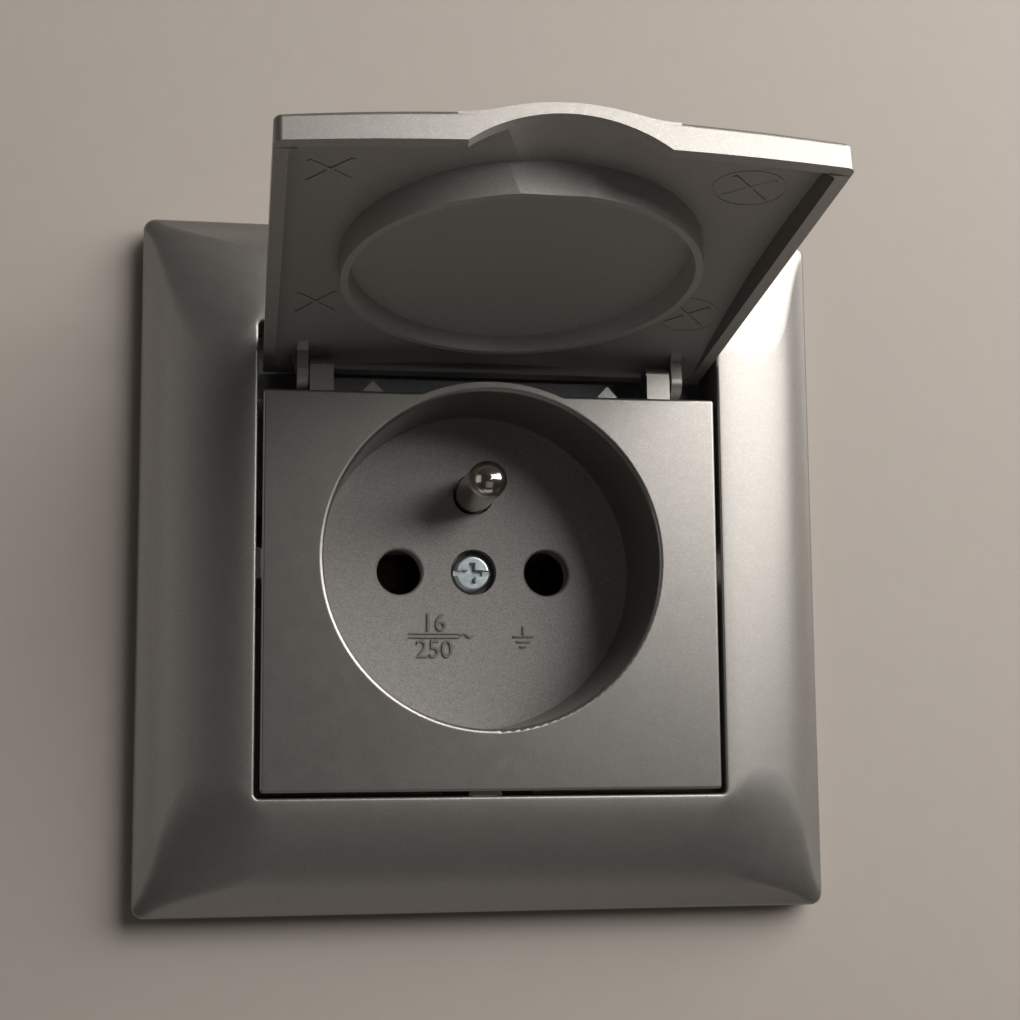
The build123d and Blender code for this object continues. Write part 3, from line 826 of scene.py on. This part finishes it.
@dataclass
class Faceplate(SubAssembly):
    """The cover plate, with the rating numbers and the earth sign on its recess floor."""

    finish: bpy.types.Material
    mark_finish: bpy.types.Material
    recess_depth: float = 16.5 * MM
    digit_size: float = 3.2 * MM
    digit_height: float = 0.28 * MM
    digit_edge: float = 0.015 * MM
    number_middle: float = -5.06 * MM
    bar_level: float = -8.1 * MM
    bar_length: float = 6.4 * MM
    bar_gap: float = 0.5 * MM
    bar_share: float = 0.7
    upper_level: float = -6.55 * MM
    lower_level: float = -9.9 * MM
    wave_middle: float = -0.9 * MM
    wave_length: float = 1.5 * MM
    wave_height: float = 0.25 * MM
    wave_steps: int = 16
    sign_middle: float = 6.35 * MM
    sign_level: float = -8.2 * MM
    sign_size: float = 2.6 * MM
    sign_rows: int = 4
    sign_bars: int = 3
    stem_rows: int = 2
    line_width: float = 0.28 * MM
    line_height: float = 0.28 * MM
    gate_middle: Point = (-1.2 * MM, 15.0 * MM)
    gate_radius: float = 1.3 * MM
    gate_width: float = 0.15 * MM
    gate_height: float = 0.04 * MM

    def floor(self, across: float, level: float) -> tuple[Vector, Vector]:
        """Point and normal of the recess floor.

        Args:
            across: The distance to the right of the axis.
            level: The height above the axis.

        Returns:
            The point and the normal.
        """
        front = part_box("cover_plate")[0].y
        return Vector((across, front + self.recess_depth, level)), Vector((0, -1, 0))

    def build(self) -> None:
        """Dresses the plate and adds its marks."""
        self.dress("cover_plate", self.finish)
        self.add_number("rating_upper", "16", self.upper_level)
        self.add_number("rating_lower", "250", self.lower_level)
        self.add_lines("rating_bar", self.bar_lines(), self.floor, self.mark_finish, Slot.GRAPHITE)
        self.add_lines("earth_sign", self.earth_lines(), self.floor, self.mark_finish, Slot.GRAPHITE)
        rim = ring_points(self.gate_radius, self.gate_middle)
        gate = RaisedLine(rim, self.gate_width, self.gate_height, closed=True)
        self.add_lines("gate_mark", [gate], self.floor, self.finish, Slot.GRAPHITE)

    def add_number(self, name: str, digits: str, level: float) -> None:
        """Adds a raised number to the recess floor.

        Args:
            name: The piece's name.
            digits: The number.
            level: The height of its middle.
        """
        curve = bpy.data.curves.new(name + "_outline", "FONT")
        curve.body = digits
        curve.size = self.digit_size
        curve.extrude = self.digit_height
        curve.bevel_depth = self.digit_edge
        curve.align_x = "CENTER"
        curve.align_y = "CENTER"
        holder = new_object(name + "_outline", curve)
        bpy.context.view_layer.update()
        shown = holder.evaluated_get(bpy.context.evaluated_depsgraph_get())
        mesh = bpy.data.meshes.new_from_object(shown)
        bpy.data.objects.remove(holder)
        spot, _ = self.floor(self.number_middle, level)
        mesh.transform(Matrix.Translation(spot) @ Matrix.Rotation(math.pi / 2, 4, "X"))
        self.add_piece(name, mesh, self.mark_finish, Slot.GRAPHITE)

    def bar_lines(self) -> list[RaisedLine]:
        """Lines between the two numbers: a double bar and a wave for alternating current.

        Returns:
            The lines.
        """
        left = self.number_middle - self.bar_length / 2
        right = self.number_middle + self.bar_length / 2
        width = self.line_width * self.bar_share
        lines = []
        for level in (self.bar_level - self.bar_gap / 2, self.bar_level + self.bar_gap / 2):
            lines.append(RaisedLine(((left, level), (right, level)), width, self.line_height))
        wave = []
        for index in range(self.wave_steps + 1):
            share = index / self.wave_steps
            rise = self.wave_height * math.sin(2 * math.pi * share)
            across = self.wave_middle + (share - HALF) * self.wave_length
            wave.append((across, self.bar_level + rise))
        lines.append(RaisedLine(wave, self.line_width, self.line_height))
        return lines

    def earth_lines(self) -> list[RaisedLine]:
        """Lines of the general earth sign: a stem on three bars that grow shorter.

        Returns:
            The lines.
        """
        row = self.sign_size / self.sign_rows
        middle = self.sign_middle
        spans = [((middle, self.sign_level), (middle, self.sign_level + self.stem_rows * row))]
        for index in range(self.sign_bars):
            half = self.sign_size / 2 * (1 - index / self.sign_bars)
            level = self.sign_level - index * row
            spans.append(((middle - half, level), (middle + half, level)))
        return [RaisedLine(ends, self.line_width, self.line_height) for ends in spans]


@dataclass
class Lid(SubAssembly):
    """The hinged lid, with the crossed mould marks on its inner face."""

    finish: bpy.types.Material
    body: Body = Body.LID
    open_angle: float = LID_OPEN
    mark_arm: float = 3.0 * MM
    mark_width: float = 0.55 * MM
    mark_height: float = 0.1 * MM
    mark_across: float = 21.5 * MM
    near_mark: float = -11.2 * MM
    far_mark: float = -39.3 * MM
    far_shift: float = 1.5 * MM
    pad_radius: float = 3.6 * MM
    pad_width: float = 0.2 * MM
    ray_start: float = 1.5 * MM
    tree: BVHTree | None = field(default=None, repr=False)

    def inner_face(self, across: float, along: float) -> tuple[Vector, Vector]:
        """Point and normal of the lid's inner face.

        Args:
            across: The distance to the right of the middle.
            along: The distance from the hinge axis, negative towards the free edge.

        Returns:
            The point and the normal.
        """
        if self.tree is None:
            mesh = frame["nodes"]["lid"].data
            corners = [vertex.co.copy() for vertex in mesh.vertices]
            faces = [tuple(face.vertices) for face in mesh.polygons]
            self.tree = BVHTree.FromPolygons(corners, faces)
        hinge = Vector(frame["joints"][0]["pos_m"])
        out = Vector((0, -math.cos(self.open_angle), math.sin(self.open_angle)))
        up = Vector((0, math.sin(self.open_angle), math.cos(self.open_angle)))
        start = hinge + Vector((across, 0, 0)) + up * along + out * self.ray_start
        point, normal, _, _ = self.tree.ray_cast(start, out)
        facing = normal if normal.dot(out) < 0 else -normal
        return point, facing

    def build(self) -> None:
        """Dresses the lid and adds its mould marks."""
        self.dress("lid", self.finish)
        lines = []
        for along in (self.near_mark, self.far_mark):
            right = self.mark_across - (self.far_shift if along == self.far_mark else 0.0)
            lines += self.cross(-self.mark_across, along)
            lines += self.cross(right, along)
            rim = ring_points(self.pad_radius, (right, along))
            lines.append(RaisedLine(rim, self.pad_width, self.mark_height / 2, closed=True))
        self.add_lines("lid_mould_marks", lines, self.inner_face, self.finish, Slot.GRAPHITE)

    def cross(self, across: float, along: float) -> list[RaisedLine]:
        """Two crossed bars.

        Args:
            across: The place of their middle, to the right.
            along: The place of their middle, from the hinge axis.

        Returns:
            The bars.
        """
        arm = self.mark_arm / math.sqrt(2)
        bars = []
        for way in (-1, 1):
            ends = span_points((across - arm, along - way * arm), (across + arm, along + way * arm))
            bars.append(RaisedLine(ends, self.mark_width, self.mark_height))
        return bars


@dataclass
class Metalwork(SubAssembly):
    """The pin, contacts, terminals, bridge and screws."""

    finishes: Mapping[Slot, bpy.types.Material]
    shade_painted_finishes: Mapping[str, bpy.types.Material]

    def build(self) -> None:
        """Dresses each metal node by its slot in the record, or with a finish of its own whose dark colour is
        painted shade (the contacts and the bridge).
        """
        for entry in frame["record"]["subparts"]:
            node = entry["node"]
            slot = Slot(entry["material_slot"])
            if slot in self.finishes:
                self.dress(node, self.shade_painted_finishes.get(node, self.finishes[slot]))


@dataclass
class Carrier(SubAssembly):
    """The moulded contact carrier and its rear cover."""

    finish: bpy.types.Material

    def build(self) -> None:
        """Dresses both mouldings."""
        self.dress("socket_base", self.finish)
        self.dress("rear_cover", self.finish)


@dataclass
class Wall:
    """The plain wall behind the frame, open where the frame covers it."""

    finish: bpy.types.Material
    hole_half: float = 38.5 * MM
    half: float = 1.6
    setback: float = 1.2 * MM

    def build(self) -> None:
        """Makes the wall as a wide flat square with a square hole, facing the front."""
        work = bmesh.new()
        rows = []
        for half in (self.hole_half, self.half):
            spots = ((-half, -half), (half, -half), (half, half), (-half, half))
            rows.append([work.verts.new((x, self.setback, z)) for x, z in spots])
        inner, outer = rows
        for index in range(len(inner)):
            after = (index + 1) % len(inner)
            work.faces.new((inner[index], outer[index], outer[after], inner[after]))
        mesh = bpy.data.meshes.new("wall")
        work.to_mesh(mesh)
        work.free()
        if mesh.polygons[0].normal.y > 0:
            mesh.flip_normals()
        mesh.materials.append(self.finish)
        piece = new_object("wall", mesh)


@dataclass(frozen=True)
class SoftBox:
    """A rectangular soft light, aimed at the socket.

    Attributes:
        name: The light's name.
        azimuth: Degrees to the right of the front.
        elevation: Degrees above the level.
        distance: Metres from the socket.
        size: Width and height.
        power: Watts.
        colour: The light's colour.
    """

    name: str
    azimuth: float
    elevation: float
    distance: float
    size: Point
    power: float
    colour: Colour = PLAIN_WHITE

    def build(self) -> None:
        """Makes the light."""
        lamp = bpy.data.lights.new(self.name, "AREA")
        lamp.shape = "RECTANGLE"
        lamp.size, lamp.size_y = self.size
        lamp.energy = self.power
        lamp.color = self.colour
        away = heading(HALF_TURN - self.azimuth, self.elevation)
        holder = new_object(self.name, lamp)
        holder.location = away * self.distance
        holder.rotation_euler = (-away).to_track_quat("-Z", "Y").to_euler()


@dataclass
class Studio:
    """The lights and the dim room around the socket."""

    room: Colour = (0.025, 0.0245, 0.024)
    lights: Sequence[SoftBox] = (
        SoftBox("key", 48.5, 30, 0.5, (0.6, 0.42), 4.6, KEY_WHITE),
        SoftBox("fill", -68, 5, 0.9, (0.7, 0.6), 0.55, FILL_WHITE),
        SoftBox("low", 5, -32, 0.8, (0.6, 0.5), 0.13, FILL_WHITE),
        SoftBox("ground", 0, -78, 0.6, (0.5, 0.3), 0.15, FILL_WHITE),
        SoftBox("rear", 155, 25, 0.9, (1.2, 1.0), 4.5),
        SoftBox("rear_left", -135, 5, 0.9, (1.0, 1.0), 2.0),
    )

    def build(self) -> None:
        """Makes the world and the lights, and sets the plain view transform."""
        world = bpy.data.worlds.new("room")
        world.use_nodes = True
        graph = Graph(world.node_tree)
        glow = graph.node("ShaderNodeBackground", {}, {"Color": self.room, "Strength": 1.0})
        graph.node("ShaderNodeOutputWorld", {}, {"Surface": glow})
        scene = bpy.context.scene
        scene.world = world
        scene.view_settings.view_transform = "Standard"
        for light in self.lights:
            light.build()


@dataclass(frozen=True)
class Viewpoint:
    """The photograph's camera, solved from the socket's known sizes.

    Attributes:
        place: The camera's place.
        azimuth: Degrees that it looks to the right of +Y.
        elevation: Degrees that it looks above the level.
        roll: Degrees that its right side is raised.
        image: The image's side, in pixels.
        focal: The focal length, in pixels.
        centre: The pixel that the lens axis meets.
        sensor: The sensor's width, in millimetres.
        near: The distance from which things are seen.
    """

    place: Triple = (-29.77 * MM, -190.7 * MM, -20.58 * MM)
    azimuth: float = 8.61
    elevation: float = 6.485
    roll: float = -0.316
    image: float = 1020.0
    focal: float = 1577.9
    centre: Point = (475.5, 555.1)
    sensor: float = 36.0
    near: float = 10 * MM

    def build(self) -> None:
        """Makes the camera and sets it as the scene's."""
        forward = heading(self.azimuth, self.elevation)
        aim = forward.to_track_quat("-Z", "Y") @ Quaternion((0, 0, 1), math.radians(self.roll))
        lens = bpy.data.cameras.new("photo_camera")
        lens.sensor_width = self.sensor
        lens.lens = self.focal / self.image * self.sensor
        lens.shift_x = (self.image / 2 - self.centre[0]) / self.image
        lens.shift_y = (self.centre[1] - self.image / 2) / self.image
        lens.clip_start = self.near
        holder = new_object("photo_camera", lens)
        holder.location = self.place
        holder.rotation_euler = aim.to_euler()
        bpy.context.scene.camera = holder


MARK_PAINT = RecessPaint(
    "graphite_marks",
    bare_dark=(0.15, 0.143, 0.135),
    bare_light=(0.22, 0.21, 0.2),
)
BRASS_STRIP = RolledStrip("brass_strip", (0.8, 0.6, 0.3), (0.6, 0.4, 0.18))
SPRING_STRIP = RolledStrip("spring_strip", (0.5, 0.5, 0.5), (0.34, 0.33, 0.32))
# Near-black brass for the line and neutral contacts: painted shade, standing in for the dark deep in the pin
# holes.
SHADED_CONTACT_STRIP = RolledStrip("contact_strip_painted_shade", (0.16, 0.11, 0.055), (0.06, 0.045, 0.03))
# Dark grey zinc for the mounting bridge: painted shade, standing in for the dark in the hinge gap.
SHADED_BRIDGE_STEEL = PlatedSteel("bridge_steel_painted_shade", (0.13, 0.135, 0.14), (0.16, 0.16, 0.155), roughness=0.45)


def main() -> None:
    """Builds the stage and each sub-assembly in order."""
    logging.basicConfig(level=logging.INFO, format="%(name)s: %(message)s")
    graphite = GraphitePaint().material()
    metals = {
        Slot.NICKEL: NickelPlate().material(),
        Slot.ZINC: PlatedSteel().material(),
        Slot.SPRING: SPRING_STRIP.material(),
        Slot.BRASS: BRASS_STRIP.material(),
    }
    contact_shade_finish = SHADED_CONTACT_STRIP.material()
    # The contacts and the bridge get finishes whose dark colour is painted shade.
    own = {"line_contact": contact_shade_finish, "neutral_contact": contact_shade_finish, "mounting_bridge": SHADED_BRIDGE_STEEL.material()}
    Viewpoint().build()
    Studio().build()
    Wall(WallPaint().material()).build()
    groups: list[SubAssembly] = [
        Surround(graphite),
        Faceplate(RecessPaint().material(), MARK_PAINT.material()),
        Lid(LidPaint().material()),
        Metalwork(metals, own),
        Carrier(MouldedPlastic().material()),
    ]
    for group in groups:
        LOG.info("building %s", type(group).__name__)
        group.build()


if __name__ == "__main__":
    main()
